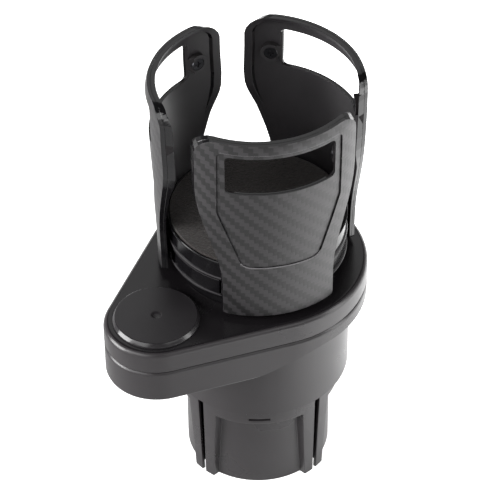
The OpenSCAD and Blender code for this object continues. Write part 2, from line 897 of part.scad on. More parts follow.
// Half width of the wing at a height
function wing_half(z) =
    stem_half + (crown_half - stem_half) * smooth((z - flare_z) / (crown_z - flare_z));

// The wing's outline, seen along its slide
function wing_side(inset) = let (r = max(stem_corner - inset, corner_least)) concat(
    arc([stem_half - inset - r, wing_z + inset + r], r, -90, 0, 3),
    [for (i = [0 : 8]) let (z = flare_z + (crown_z - flare_z) * i / 8) [wing_half(z) - inset, z]],
    arc([crown_half - crown_corner, wing_top - crown_corner], crown_corner - inset, 0, 90, 5));
function wing_outline(inset) = let (side = wing_side(inset), n = len(side)) concat(
    side, [for (i = [n - 1 : -1 : 0]) [-side[i][0], side[i][1]]]);

window_outline = rounded(
    [[-window_half, window_low], [window_half, window_low],
        [window_half, window_high], [-window_half, window_high]],
    [window_corner, window_corner, window_corner, window_corner], 4);

shield_outline = rounded(
    [[-shield_foot_half, shield_low], [shield_foot_half, shield_low], [shield_half, shield_knee],
        [shield_half, shield_high], [-shield_half, shield_high], [-shield_half, shield_knee]],
    [shield_corner, shield_corner, shield_corner, window_corner, window_corner, shield_corner], 4);

// Extrudes an outline along the slide, from the seat's axis out through the wing
module wing_block(outline) {
    rotate([90, 0, 90])
        linear_extrude(wing_crown_r + 2 * past) polygon(outline);
}

module place_wing(k) {
    rotate([0, 0, wing_turn + (k - 1) * wing_step]) children();
}

// Copies for a wing's two corner screws
module at_bosses() {
    for (s = [-1, 1])
        rotate([0, 0, s * boss_a])
            translate([0, 0, boss_z])
                rotate([0, 90, 0]) children();
}

module wing_cover(k) {
    color("#5a5759")
    place_wing(k)
        difference() {
            union() {
                intersection() {
                    wing_band(0, depths(cover_t));
                    wing_block(wing_outline(0));
                }
                at_bosses() disc(stake_x + fit_gap / 2, boss_face - cover_t + stake_root, stake_r);
            }
            intersection() {
                wing_band(-past, depths(shield_depth));
                wing_block(shield_outline);
            }
            wing_block(window_outline);
            at_bosses() disc(stake_x - past, thread_end, screw_r + run_gap);
        }
}

module wing_frame(k) {
    color("#1d1b1c")
    place_wing(k)
        difference() {
            union() {
                difference() {
                    intersection() {
                        wing_band(frame_sink, rim_depths());
                        wing_block(wing_outline(0));
                    }
                    intersection() {
                        wing_band(skin_sink, core(core_r));
                        wing_block(wing_outline(rim_w));
                    }
                }
                intersection() {
                    wing_band(frame_sink, core(core_r));
                    at_bosses() disc(boss_x, wing_crown_r, boss_r);
                }
                wing_slide();
            }
            wing_block(window_outline);
            at_bosses() {
                disc(boss_x - past, boss_x + boss_sink, screw_head_r + fit_gap);
                disc(boss_x - past, wing_crown_r, screw_r + fit_gap);
                disc(stake_x, wing_crown_r, stake_r + fit_gap);
            }
        }
}

// The foot and arm that carry a wing, with the slot for its spring and stop peg
module wing_slide() {
    difference() {
        union() {
            intersection() {
                translate([foot_in, -foot_half, arm_z])
                    cube([wing_foot_r - foot_in, 2 * foot_half, foot_h]);
                disc(arm_z - past, arm_z + 2 * arm_h, foot_out);
            }
            intersection() {
                translate([arm_in, -arm_half, arm_z])
                    cube([foot_in + arm_lap - arm_in, 2 * arm_half, arm_h]);
                // This wing's third of the seat, which its arm keeps to
                translate([0, 0, arm_z - past])
                    linear_extrude(arm_h + 2 * past)
                        polygon([[face_gap, 0], [wing_foot_r, -wing_foot_r * tan(60)],
                            [wing_foot_r, wing_foot_r * tan(60)]]);
            }
        }
        translate([slot_in, -slot_half, arm_z - past])
            cube([peg_x - slot_in, 2 * slot_half, arm_h + 2 * past]);
        translate([peg_x, 0, 0]) disc(arm_z - past, arm_z + arm_h + past, slot_half);
    }
}

module wing_screws(k) {
    color("#8a8a8c")
    place_wing(k)
        at_bosses()
            translate([0, 0, boss_x + boss_sink])
                small_screw(thread_end - boss_x - boss_sink - tip_gap, head_h = boss_sink - side_gap);
}

// A coil of round wire along X
module wing_spring(k) {
    steps = spring_turns * turn_steps;
    pitch = (spring_to - spring_from) / spring_turns;
    lean = atan2(pitch, 2 * PI * spring_r);
    rings = [for (i = [0 : steps], j = [0 : wire_sides - 1])
        let (a = 360 * i / turn_steps, b = 360 * j / wire_sides)
        let (out = spring_r + wire_r * cos(b), off = wire_r * sin(b))
        [spring_from + pitch * a / 360 + off * cos(lean),
            out * cos(a) + off * sin(lean) * sin(a),
            spring_z + out * sin(a) - off * sin(lean) * cos(a)]];
    sides = [for (i = [0 : steps - 1], j = [0 : wire_sides - 1])
        let (n = (j + 1) % wire_sides, p = i * wire_sides, q = p + wire_sides)
        each [[p + j, p + n, q + n], [p + j, q + n, q + j]]];
    first = [for (j = [wire_sides - 1 : -1 : 0]) j];
    last = [for (j = [0 : wire_sides - 1]) steps * wire_sides + j];
    color("#b4b4b6")
        place_wing(k)
            polyhedron(points = rings, faces = concat(sides, [first, last]), convexity = 6);
}

base_shell();
plug_sleeve();
well_mat();
deck_plate();
deck_screws();
pivot_bush();
pivot_screw();
pivot_washer();
tray_shell();
tray_floor();
tray_screws();
pivot_cap();
seat_base();
seat_retainer();
retainer_screws();
seat_drum();
seat_screws();
seat_plate();
seat_mat();
wing_cover(1);  // wing_cover_1
wing_cover(2);  // wing_cover_2
wing_cover(3);  // wing_cover_3
wing_frame(1);  // wing_frame_1
wing_frame(2);  // wing_frame_2
wing_frame(3);  // wing_frame_3
wing_screws(1);  // wing_screws_1
wing_screws(2);  // wing_screws_2
wing_screws(3);  // wing_screws_3
wing_spring(1);  // wing_spring_1
wing_spring(2);  // wing_spring_2
wing_spring(3);  // wing_spring_3
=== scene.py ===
import math

import bmesh
import bpy
from bpy.props import FloatProperty, FloatVectorProperty, PointerProperty
from mathutils import Matrix, Vector, kdtree, noise


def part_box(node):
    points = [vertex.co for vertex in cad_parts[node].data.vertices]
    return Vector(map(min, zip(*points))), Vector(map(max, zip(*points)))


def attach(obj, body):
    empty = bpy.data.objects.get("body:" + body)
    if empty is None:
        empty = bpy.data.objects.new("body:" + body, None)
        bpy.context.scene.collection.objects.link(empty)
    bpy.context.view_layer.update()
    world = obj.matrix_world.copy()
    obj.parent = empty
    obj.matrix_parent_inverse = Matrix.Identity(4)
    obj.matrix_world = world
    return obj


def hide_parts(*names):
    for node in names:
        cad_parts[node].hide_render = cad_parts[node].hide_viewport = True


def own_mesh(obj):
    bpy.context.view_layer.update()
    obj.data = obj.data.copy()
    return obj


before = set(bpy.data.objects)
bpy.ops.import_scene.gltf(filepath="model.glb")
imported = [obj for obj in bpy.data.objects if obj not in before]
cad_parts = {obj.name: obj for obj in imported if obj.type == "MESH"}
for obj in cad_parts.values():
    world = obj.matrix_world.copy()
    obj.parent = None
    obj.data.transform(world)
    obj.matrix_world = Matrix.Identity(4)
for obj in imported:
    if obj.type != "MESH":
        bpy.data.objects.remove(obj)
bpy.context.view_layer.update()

bl_info = {
    "name": "Swing Tray Cup Holder",
    "version": (1, 0, 0),
    "blender": (4, 5, 0),
    "location": "View3D > Sidebar > Cup Holder",
    "description": "Finishes, mats, stage and camera for a car cup holder with a swinging second seat",
    "category": "Object",
}

MM = 0.001
UP = Vector((0, 0, 1))

# Places that repeat the part's own sizes, in metres
WING_COUNT = 3
WING_FOOT_Z = 0.1095
WING_TOP_Z = 0.1920
WING_FOOT_R = 0.042
WING_LEAN = 0.0028
SHIELD_DEPTH = 0.0006
LIP_R = 0.0365

# Which faces and edges get which finish: distances in metres, and how squarely a face looks outwards
BOSS_REACH = 0.004
ARM_REACH = 0.006
FILM_FACING = 0.86
LINING_FACING = -0.9
STEP_FACING = 0.3
EDGE_SAMPLES = 6

# How near points are merged, in metres, and how flat faces are that become one
WELD = 2e-6
FLAT = math.radians(0.03)

# The film's map starts here, so that it is positive all round a wing
WRAP_START = 0.08

# The middle of the stage's lights, and the way from it to the camera
LIGHT_AIM = (0, 0, 0.11)
CAMERA_WAY = math.radians(226.2)


def srgb(code):
    """Linear colour of an sRGB hex value."""
    parts = [int(code[i:i + 2], 16) / 255 for i in (0, 2, 4)]
    return tuple(p / 12.92 if p <= 0.04045 else ((p + 0.055) / 1.055) ** 2.4 for p in parts)


def color_of(name, code, description):
    """A colour setting."""
    return FloatVectorProperty(name=name, description=description, subtype="COLOR", size=3,
                               min=0, max=1, default=srgb(code))


def length_of(name, value_mm, description):
    """A length setting, given here in millimetres."""
    return FloatProperty(name=name, description=description, unit="LENGTH", subtype="DISTANCE",
                         min=0, default=value_mm * MM)


class CupHolderColors(bpy.types.PropertyGroup):
    """Colours of the finishes."""

    shell: color_of("Shells", "2f2c2e", "Charcoal ABS of the sleeve, cup, housing and tray")
    # Painted shade: the tray's top is one moulding with the shells, given this darker colour
    face: color_of("Tray's face", "191719", "Smooth black face of the tray")
    plate: color_of("Plates", "242223", "Black ABS of the plates inside")
    cap: color_of("Cap", "262426", "Black ABS of the pivot cap")
    gloss: color_of("Gloss", "0e0d0f", "High gloss black of the seat and the wings' frames")
    # Painted highlight: a paler colour on the upper rounding of the seat's gloss black lips
    lip_highlight: color_of("Lips", "4c4a4c", "Polished rounding of the seat's lips")
    lining: color_of("Lining", "292729", "Satin black on the inside of the wings")
    tow_dark: color_of("Dark tows", "131213", "Tows of the twill film that turn from the light")
    tow_light: color_of("Light tows", "2e2c2e", "Tows of the twill film that face the light")
    # The lacquer colour is a painted highlight: the pale line on the rounded upper edge of the shield's
    # step
    lacquer: color_of("Lacquer", "6a686a", "Clear lacquer over the edge of the film")
    felt: color_of("Felt", "2f2a28", "Needled felt of the mats")
    bearing: color_of("Bearing", "302e30", "Turned acetal of the pivot bush")
    steel: color_of("Steel", "b4b4b6", "Zinc plated screws and washer")
    oxide: color_of("Black oxide", "3c3c3f", "Blackened screws in the wings")
    wire: color_of("Wire", "c4c4c6", "Drawn spring wire")


class CupHolderSizes(bpy.types.PropertyGroup):
    """Sizes that belong to the finish."""

    shell_edge: length_of("Shell edges", 0.35, "Rounding of the moulded shells' edges")
    lip_edge: length_of("Lip edges", 0.4, "Rounding of the seat's lips")
    wing_edge: length_of("Wing edges", 0.3, "Rounding of the wings' edges")
    tow: length_of("Tow width", 1.85, "Width of one tow in the twill film")
    grain: length_of("Spark grain", 0.35, "Grain of the moulded texture")
    pile: length_of("Felt pile", 0.18, "How far the felt's face rises and falls")


class CupHolderStage(bpy.types.PropertyGroup):
    """Camera and light."""

    lens: FloatProperty(name="Lens", description="Focal length in millimetres", default=180, min=20)
    key: FloatProperty(name="Key light", description="Power of the softbox at the left front in watts",
                       unit="POWER", default=9, min=0)
    front: FloatProperty(name="Front light", description="Power of the softbox at the right front in watts",
                         unit="POWER", default=3, min=0)
    rim: FloatProperty(name="Rim light", description="Power of the strip at the right in watts",
                       unit="POWER", default=6, min=0)
    fill: FloatProperty(name="Fill light", description="Power of the left softbox in watts",
                        unit="POWER", default=32, min=0)
    back: FloatProperty(name="Back light", description="Power of the softbox behind the object in watts",
                        unit="POWER", default=2, min=0)
    sky: FloatProperty(name="Sky", description="Strength of the plain light near the horizon",
                       default=0.55, min=0)
    ceiling: FloatProperty(name="Ceiling", description="Share of that light left overhead",
                           default=0.1, min=0, max=1)


# Meshes


def select_only(piece):
    """Makes a piece the one that is selected and active."""
    bpy.ops.object.select_all(action="DESELECT")
    piece.select_set(True)
    bpy.context.view_layer.objects.active = piece


def edit_all(piece):
    """Opens a piece in edit mode with everything selected."""
    select_only(piece)
    bpy.ops.object.mode_set(mode="EDIT")
    bpy.ops.mesh.select_mode(type="VERT")
    bpy.ops.mesh.select_all(action="SELECT")


def leave_edit():
    """Goes back to object mode."""
    bpy.ops.object.mode_set(mode="OBJECT")


def welded(node, name, whole=True):
    """A copy of a CAD node with its loose triangles merged and, if whole, its flat faces made one."""
    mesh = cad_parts[node].data.copy()
    mesh.name = name
    piece = bpy.data.objects.new(name, mesh)
    bpy.context.scene.collection.objects.link(piece)
    mesh.materials.clear()
    select_only(piece)
    bpy.ops.mesh.customdata_custom_splitnormals_clear()
    edit_all(piece)
    bpy.ops.mesh.remove_doubles(threshold=WELD)
    if whole:
        bpy.ops.mesh.dissolve_limited(angle_limit=FLAT)
    leave_edit()
    return piece


def apply_modifiers(piece):
    """Applies all modifiers of a piece, in order."""
    select_only(piece)
    for modifier in list(piece.modifiers):
        bpy.ops.object.modifier_apply(modifier=modifier.name)


def soften(piece, width, segments=2, angle=32, share=None, slot=-1):
    """Rounds the sharp edges of a piece, each by its share of the width, and smooths the rest."""
    if share:
        shape = bmesh.new()
        shape.from_mesh(piece.data)
        layer = shape.edges.layers.float.new("bevel_weight_edge")
        for edge in shape.edges:
            sharp = len(edge.link_faces) == 2 and edge.calc_face_angle() > math.radians(angle)
            edge[layer] = share(edge) if sharp else 0
        shape.to_mesh(piece.data)
        shape.free()
    if width > 0:
        bevel = piece.modifiers.new("Edges", "BEVEL")
        bevel.width = width
        bevel.segments = segments
        bevel.material = slot
        bevel.limit_method = "WEIGHT" if share else "ANGLE"
        bevel.angle_limit = math.radians(angle)
        bevel.use_clamp_overlap = False
        bevel.miter_outer = "MITER_ARC"
        apply_modifiers(piece)
    select_only(piece)
    bpy.ops.object.shade_smooth_by_angle(angle=math.radians(angle))
    weights = piece.modifiers.new("Normals", "WEIGHTED_NORMAL")
    weights.keep_sharp = True
    apply_modifiers(piece)


def paint(piece, material, chosen):
    """Gives the chosen ones of a piece's plain faces a further material."""
    piece.data.materials.append(material)
    index = len(piece.data.materials) - 1
    for face in piece.data.polygons:
        if face.material_index == 0 and chosen(face.center, face.normal):
            face.material_index = index


def settle(piece, body, slot, material, *nodes):
    """Finishes a piece: its material, the body that it rides on and the nodes that it stands for."""
    if piece.data.materials:
        piece.data.materials[0] = material
    else:
        piece.data.materials.append(material)
    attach(piece, body)
    if nodes:
        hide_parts(*nodes)


# Materials


def add(tree, kind, inputs=None, links=None, **settings):
    """Adds one node with its settings, its inputs' values and the sockets that feed it."""
    node = tree.nodes.new("ShaderNode" + kind)
    for key, value in settings.items():
        setattr(node, key, value)
    for key, value in (inputs or {}).items():
        node.inputs[key].default_value = value
    for key, socket in (links or {}).items():
        tree.links.new(socket, node.inputs[key])
    return node


def new_material(name):
    """An empty node material, or None where one of that name has been made already."""
    if name in bpy.data.materials:
        return None
    material = bpy.data.materials.new(name)
    material.use_nodes = True
    material.node_tree.nodes.clear()
    return material


def close_material(material, shader):
    """Feeds a shader to the material's output."""
    output = add(material.node_tree, "OutputMaterial")
    material.node_tree.links.new(shader, output.inputs["Surface"])
    return material


def mottled(tree, place, color, spread, scale):
    """The colour with a slight cloudiness, as pigment and handling leave in a moulding."""
    cloud = add(tree, "TexNoise", {"Scale": scale, "Detail": 3}, {"Vector": place})
    low = [c * (1 - spread) for c in color] + [1]
    high = [min(1, c * (1 + spread)) for c in color] + [1]
    ramp = add(tree, "ValToRGB", links={"Fac": cloud.outputs["Fac"]})
    ramp.color_ramp.elements[0].position = 0.3
    ramp.color_ramp.elements[0].color = low
    ramp.color_ramp.elements[1].position = 0.7
    ramp.color_ramp.elements[1].color = high
    return ramp.outputs["Color"]


def moulded(name, color, roughness, grain, depth, spread=0.06, shine=0.5):
    """Moulded ABS: cloudy pigment, and a face grained by the spark-eroded mould."""
    material = new_material(name)
    if material is None:
        return bpy.data.materials[name]
    tree = material.node_tree
    place = add(tree, "TexCoord").outputs["Object"]
    tint = mottled(tree, place, color, spread, 45)
    pits = add(tree, "TexNoise", {"Scale": 1 / grain, "Detail": 2, "Roughness": 0.6}, {"Vector": place})
    smears = add(tree, "TexNoise", {"Scale": 28, "Detail": 4}, {"Vector": place})
    rough = add(tree, "MapRange", {"From Min": 0.3, "From Max": 0.7, "To Min": roughness - 0.05,
                                   "To Max": roughness + 0.06}, {"Value": smears.outputs["Fac"]})
    bump = add(tree, "Bump", {"Strength": 1.0, "Distance": depth}, {"Height": pits.outputs["Fac"]})
    shader = add(tree, "BsdfPrincipled", {"IOR": 1.53, "Specular IOR Level": shine},
                 {"Base Color": tint, "Roughness": rough.outputs["Result"],
                  "Normal": bump.outputs["Normal"]})
    return close_material(material, shader.outputs["BSDF"])


def abs_spark_textured():
    # Gives the eye a soft charcoal with broad, dull highlights and a faint grain
    colors, sizes = settings()
    return moulded("abs_moulded_spark_textured", colors.shell, 0.3, sizes.grain, 0.012 * MM)


def abs_polished_face_painted_shade():
    # Gives the eye the tray's smoother top face, given a darker colour as painted shade
    colors, sizes = settings()
    return moulded("abs_moulded_polished_face", colors.face, 0.24, 2 * sizes.grain, 0.004 * MM)


def abs_matt_moulded():
    # Gives the eye a plain dark plate that hardly shines
    colors, sizes = settings()
    return moulded("abs_moulded_matt", colors.plate, 0.62, sizes.grain, 0.03 * MM)


def abs_satin_moulded():
    # Gives the eye a smooth black cap with a faint sheen
    colors, sizes = settings()
    return moulded("abs_moulded_satin", colors.cap, 0.34, 2 * sizes.grain, 0.006 * MM)


def abs_polished_bevel():
    # Gives the eye one clean line of light round the cap
    colors, sizes = settings()
    return moulded("abs_moulded_polished_bevel", colors.cap, 0.2, 4 * sizes.grain, 0.002 * MM)


def abs_lip_painted_highlight():
    # Gives the eye the thin pale line along each lip of the seat: a painted highlight
    colors, sizes = settings()
    return moulded("abs_moulded_polished_lip", colors.lip_highlight, 0.22, 4 * sizes.grain, 0.002 * MM, 0.03)


def abs_high_gloss():
    # Gives the eye a deep black with crisp bright edges
    colors, sizes = settings()
    return moulded("abs_moulded_high_gloss", colors.gloss, 0.13, 9 * sizes.grain, 0.0015 * MM, 0.03)


def abs_black_band():
    # Gives the eye the seat's deep black bands between their pale lips
    colors, sizes = settings()
    return moulded("abs_moulded_black_band", colors.gloss, 0.16, 9 * sizes.grain, 0.0015 * MM,
                   spread=0.03, shine=0.2)


def painted_step_highlight():
    # Gives the eye the pale line along the rounded upper edge of the shield's step: a painted highlight
    colors, sizes = settings()
    return moulded("lacquer_clear_edge", colors.lacquer, 0.2, 2 * sizes.grain, 0.002 * MM, 0.03)


def abs_satin_lining():
    # Gives the eye the quieter black of a wing's inner face
    colors, sizes = settings()
    return moulded("abs_moulded_satin_lining", colors.lining, 0.4, 2 * sizes.grain, 0.01 * MM)


def abs_matt_boss():
    # Gives the eye a dull black round the wings' screws and beside the window
    colors, sizes = settings()
    return moulded("abs_moulded_matt_boss", colors.plate, 0.7, sizes.grain, 0.02 * MM, shine=0.1)


def acetal_turned():
    # Gives the eye a waxy dark bearing face
    colors, sizes = settings()
    return moulded("acetal_turned", colors.bearing, 0.3, sizes.grain, 0.004 * MM)


def twill_film():
    """Printed twill film under a satin lacquer, moulded onto the wings' covers."""
    # Gives the eye stepped diagonal bands of dark and mid grey, drawn at their real width
    name = "twill_film_lacquered"
    material = new_material(name)
    if material is None:
        return bpy.data.materials[name]
    colors, sizes = settings()
    tree = material.node_tree
    wrap = add(tree, "UVMap", uv_map="wrap")
    across = add(tree, "SeparateXYZ", links={"Vector": wrap.outputs["UV"]})
    cells, humps = [], []
    for axis in ("X", "Y"):
        tows = add(tree, "Math", {1: 1 / sizes.tow}, {0: across.outputs[axis]}, operation="MULTIPLY")
        cells.append(add(tree, "Math", links={0: tows.outputs[0]}, operation="FLOOR").outputs[0])
        part = add(tree, "Math", links={0: tows.outputs[0]}, operation="FRACT")
        swing = add(tree, "Math", {1: math.pi}, {0: part.outputs[0]}, operation="MULTIPLY")
        humps.append(add(tree, "Math", links={0: swing.outputs[0]}, operation="SINE").outputs[0])
    step = add(tree, "Math", links={0: cells[0], 1: cells[1]}, operation="ADD")
    turn = add(tree, "Math", {1: 4}, {0: step.outputs[0]}, operation="FLOORED_MODULO")
    over = add(tree, "Math", {1: 1.5}, {0: turn.outputs[0]}, operation="LESS_THAN").outputs[0]
    place = add(tree, "TexCoord").outputs["Object"]
    dark = mottled(tree, place, colors.tow_dark, 0.1, 60)
    light = mottled(tree, place, colors.tow_light, 0.08, 60)
    tint = add(tree, "Mix", links={0: over, 6: dark, 7: light}, data_type="RGBA")
    height = add(tree, "Mix", links={0: over, 2: humps[0], 3: humps[1]}, data_type="FLOAT")
    bump = add(tree, "Bump", {"Strength": 0.5, "Distance": 0.04 * MM}, {"Height": height.outputs[0]})
    shader = add(tree, "BsdfPrincipled", {"IOR": 1.5, "Roughness": 0.42, "Coat Weight": 0.15,
                                          "Coat Roughness": 0.3},
                 {"Base Color": tint.outputs[2], "Normal": bump.outputs["Normal"]})
    return close_material(material, shader.outputs["BSDF"])


def felt_needled():
    """Needled polyester felt: matted short fibres with a dull sheen."""
    # Gives the eye a soft, light-swallowing brown black with fine flecks
    name = "polyester_felt_needled"
    material = new_material(name)
    if material is None:
        return bpy.data.materials[name]
    colors = settings()[0]
    tree = material.node_tree
    place = add(tree, "TexCoord").outputs["Object"]
    # Fibres are about 0.03 mm thick, too fine to show, so the flecks are drawn 0.5 mm wide
    flecks = add(tree, "TexNoise", {"Scale": 1 / (0.5 * MM), "Detail": 3, "Roughness": 0.7},
                 {"Vector": place})
    clumps = add(tree, "TexVoronoi", {"Scale": 900, "Randomness": 1}, {"Vector": place})
    tint = mottled(tree, place, colors.felt, 0.35, 700)
    mat = add(tree, "Math", {1: 0.5}, {0: clumps.outputs["Distance"]}, operation="MULTIPLY")
    fuzz = add(tree, "Math", links={0: flecks.outputs["Fac"], 1: mat.outputs[0]}, operation="ADD")
    bump = add(tree, "Bump", {"Strength": 1.0, "Distance": 0.25 * MM}, {"Height": fuzz.outputs[0]})
    shader = add(tree, "BsdfPrincipled", {"Roughness": 0.95, "IOR": 1.4, "Specular IOR Level": 0.2,
                                          "Sheen Weight": 0.35, "Sheen Roughness": 0.5},
                 {"Base Color": tint, "Normal": bump.outputs["Normal"]})
    return close_material(material, shader.outputs["BSDF"])


def metal(name, color, roughness, scale):
    """A bare metal face with fine marks left by its making."""
    material = new_material(name)
    if material is None:
        return bpy.data.materials[name]
    tree = material.node_tree
    place = add(tree, "TexCoord").outputs["Object"]
    tint = mottled(tree, place, color, 0.08, 300)
    marks = add(tree, "TexNoise", {"Scale": scale, "Detail": 2}, {"Vector": place})
    rough = add(tree, "MapRange", {"To Min": roughness - 0.08, "To Max": roughness + 0.08},
                {"Value": marks.outputs["Fac"]})
    bump = add(tree, "Bump", {"Strength": 0.4, "Distance": 0.01 * MM}, {"Height": marks.outputs["Fac"]})
    shader = add(tree, "BsdfPrincipled", {"Metallic": 1.0},
                 {"Base Color": tint, "Roughness": rough.outputs["Result"],
                  "Normal": bump.outputs["Normal"]})
    return close_material(material, shader.outputs["BSDF"])


def steel_zinc_plated():
    # Gives the eye a pale, slightly cloudy metal
    return metal("steel_zinc_plated", settings()[0].steel, 0.34, 2500)


def steel_black_oxide():
    # Gives the eye a screw head that hardly shows in its boss
    return metal("steel_black_oxide", settings()[0].oxide, 0.4, 2500)


def steel_wire_drawn():
    # Gives the eye a bright line along each turn
    return metal("steel_wire_drawn", settings()[0].wire, 0.24, 4000)


def backdrop_paper():
    """Seamless white paper: the camera sees it white, with the object's shadow on it."""
    name = "backdrop_paper_white"
    material = new_material(name)
    if material is None:
        return bpy.data.materials[name]
    tree = material.node_tree
    path = add(tree, "LightPath")
    seen = add(tree, "Math", links={0: path.outputs["Is Camera Ray"], 1: path.outputs["Is Glossy Ray"]},
               operation="MAXIMUM")
    seen = add(tree, "Math", links={0: seen.outputs[0], 1: path.outputs["Is Transmission Ray"]},
               operation="MAXIMUM")
    place = add(tree, "TexCoord").outputs["Object"]
    fibres = mottled(tree, place, srgb("e6e6e6"), 0.01, 6)
    paper = add(tree, "BsdfDiffuse", {"Roughness": 1.0}, {"Color": fibres})
    # A painted pool of light: the paper glows more strongly behind the object and at its right, as seen in
    # the object's reflections
    along = add(tree, "VectorMath", {1: (0.91, -0.41, 0)}, {0: place}, operation="DOT_PRODUCT")
    painted_light_level = add(tree, "MapRange", {"From Min": -0.06, "From Max": 0.16, "To Min": 0.22, "To Max": 1.9},
              {"Value": along.outputs["Value"]}, interpolation_type="SMOOTHSTEP")
    white = add(tree, "Math", links={0: path.outputs["Is Camera Ray"], 1: painted_light_level.outputs["Result"]},
                operation="MAXIMUM")
    glow = add(tree, "Emission", {"Color": (1, 1, 1, 1)}, {"Strength": white.outputs[0]})
    both = add(tree, "AddShader", links={0: paper.outputs[0], 1: glow.outputs[0]})
    mix = add(tree, "MixShader", links={0: seen.outputs[0], 1: paper.outputs[0], 2: both.outputs[0]})
    return close_material(material, mix.outputs[0])


def settings():
    """The scene's colours and sizes."""
    scene = bpy.context.scene
    return scene.cup_holder_colors, scene.cup_holder_sizes


# Operators


class CUPHOLDER_OT_camera(bpy.types.Operator):
    """Set the camera where the product is seen from above its left shoulder"""

    bl_idname = "cupholder.camera"
    bl_label = "Camera"

    def execute(self, context):
        place = Vector((-0.5526, -0.5708, 0.8106))
        aim = Vector((-0.0022, 0.0021, 0.1087))
        roll = -0.0075
        ahead = (aim - place).normalized()
        right = ahead.cross(UP).normalized()
        up = right.cross(ahead)
        side = right * math.cos(roll) + up * math.sin(roll)
        top = up * math.cos(roll) - right * math.sin(roll)
        turn = Matrix((side, top, -ahead)).transposed()
        bpy.ops.object.camera_add(location=place, rotation=turn.to_euler())
        camera = context.object
        camera.name = "product_camera"
        camera.data.lens = context.scene.cup_holder_stage.lens
        camera.data.sensor_width = 36
        camera.data.clip_end = 30
        context.scene.camera = camera
        return {"FINISHED"}


class CUPHOLDER_OT_stage(bpy.types.Operator):
    """Lay the white floor and hang the soft lights"""

    bl_idname = "cupholder.stage"
    bl_label = "Stage and lights"

    def execute(self, context):
        stage = context.scene.cup_holder_stage
        bpy.ops.mesh.primitive_circle_add(vertices=96, radius=6, fill_type="NGON", location=(0, 0, 0))
        floor = context.object
        floor.name = "floor"
        floor.data.materials.append(backdrop_paper())
        for name, turn, height, distance, size, power in (
            ("key_softbox", -42, 34, 1.5, (1.0, 0.9), stage.key),
            ("front_softbox", 40, 42, 1.5, (0.9, 0.8), stage.front),
            ("rim_strip", 78, 18, 1.2, (0.35, 1.1), stage.rim),
            ("fill_softbox", -80, 14, 1.5, (0.9, 0.9), stage.fill),
            ("back_softbox", 180, 42, 1.6, (1.3, 0.7), stage.back),
        ):
            angle = CAMERA_WAY + math.radians(turn)
            lift = math.radians(height)
            way = Vector((math.cos(angle) * math.cos(lift), math.sin(angle) * math.cos(lift),
                          math.sin(lift)))
            spot = Vector(LIGHT_AIM) + way * distance
            bpy.ops.object.light_add(type="AREA", location=spot,
                                     rotation=way.to_track_quat("Z", "Y").to_euler())
            light = context.object
            light.name = name
            light.data.shape = "RECTANGLE"
            light.data.size, light.data.size_y = size
            light.data.energy = power
        world = bpy.data.worlds.new("plain_studio")
        context.scene.world = world
        world.use_nodes = True
        tree = world.node_tree
        tree.nodes.clear()
        path = add(tree, "LightPath")
        way = add(tree, "SeparateXYZ", links={0: add(tree, "TexCoord").outputs["Generated"]})
        level = add(tree, "MapRange", {"From Min": 0.05, "From Max": 0.6, "To Min": stage.sky,
                                       "To Max": stage.sky * stage.ceiling}, {"Value": way.outputs["Z"]})
        dim = add(tree, "Background", {"Color": (1, 1, 1, 1)}, {"Strength": level.outputs["Result"]})
        white = add(tree, "Background", {"Color": (1, 1, 1, 1), "Strength": 1})
        mix = add(tree, "MixShader", links={0: path.outputs["Is Camera Ray"], 1: dim.outputs[0],
                                            2: white.outputs[0]})
        output = add(tree, "OutputWorld")
        tree.links.new(mix.outputs[0], output.inputs["Surface"])
        context.scene.view_settings.view_transform = "Standard"
        return {"FINISHED"}


class CUPHOLDER_OT_shells(bpy.types.Operator):
    """Finish the sleeve, the lower cup with its housing, and the tray"""

    bl_idname = "cupholder.shells"
    bl_label = "Moulded shells"

    def execute(self, context):
        edge = context.scene.cup_holder_sizes.shell_edge
        for node, name, body in (("plug_sleeve", "ribbed_sleeve", "base"),
                                 ("base_shell", "lower_cup_and_housing", "base"),
                                 ("tray_shell", "teardrop_tray", "tray")):
            piece = welded(node, name)
            soften(piece, edge if node == "plug_sleeve" else 0)
            settle(piece, body, "shell", abs_spark_textured(), node)
            if node == "tray_shell":
                # The upward faces of the tray take the darker colour, a painted shade
                paint(piece, abs_polished_face_painted_shade(), lambda center, normal: normal.z > 0.98)
        return {"FINISHED"}


class CUPHOLDER_OT_plates(bpy.types.Operator):
    """Finish the plates that close the housing and the tray, and the seat's retainer"""

    bl_idname = "cupholder.plates"
    bl_label = "Plates"

    def execute(self, context):
        for node, name, body in (("deck_plate", "deck", "base"),
                                 ("tray_floor", "tray_underside", "tray"),
                                 ("seat_retainer", "retainer_ring", "seat"),
                                 ("seat_plate", "mat_backing", "seat")):
            piece = welded(node, name)
            soften(piece, 0)
            settle(piece, body, "plate", abs_matt_moulded(), node)
        return {"FINISHED"}


class CUPHOLDER_OT_seat(bpy.types.Operator):
    """Finish the turning seat with its glossy lips"""

    bl_idname = "cupholder.seat"
    bl_label = "Seat"

    def execute(self, context):
        edge = context.scene.cup_holder_sizes.lip_edge
        for node, name in (("seat_base", "seat_with_slides"), ("seat_drum", "seat_rim")):
            piece = welded(node, name)
            soften(piece, edge)
            settle(piece, "seat", "gloss", abs_black_band(), node)
            # The lips' upper rounding gets a paler colour: a painted highlight
            paint(piece, abs_lip_painted_highlight(), self.on_lip_highlight)
        return {"FINISHED"}

    @staticmethod
    def on_lip_highlight(center, normal):
        """The upper rounding of the lips, which gets the painted highlight."""
        return 0.55 < normal.z < 0.95 and math.hypot(center.x, center.y) > LIP_R


class CUPHOLDER_OT_cap(bpy.types.Operator):
    """Finish the bevelled cap over the pivot"""

    bl_idname = "cupholder.cap"
    bl_label = "Pivot cap"

    def execute(self, context):
        piece = welded("pivot_cap", "pivot_cap_bevelled")
        soften(piece, context.scene.cup_holder_sizes.lip_edge, segments=3, angle=15)
        settle(piece, "tray", "cap", abs_satin_moulded(), "pivot_cap")
        paint(piece, abs_polished_bevel(), lambda center, normal: 0.1 < normal.z < 0.98)
        return {"FINISHED"}


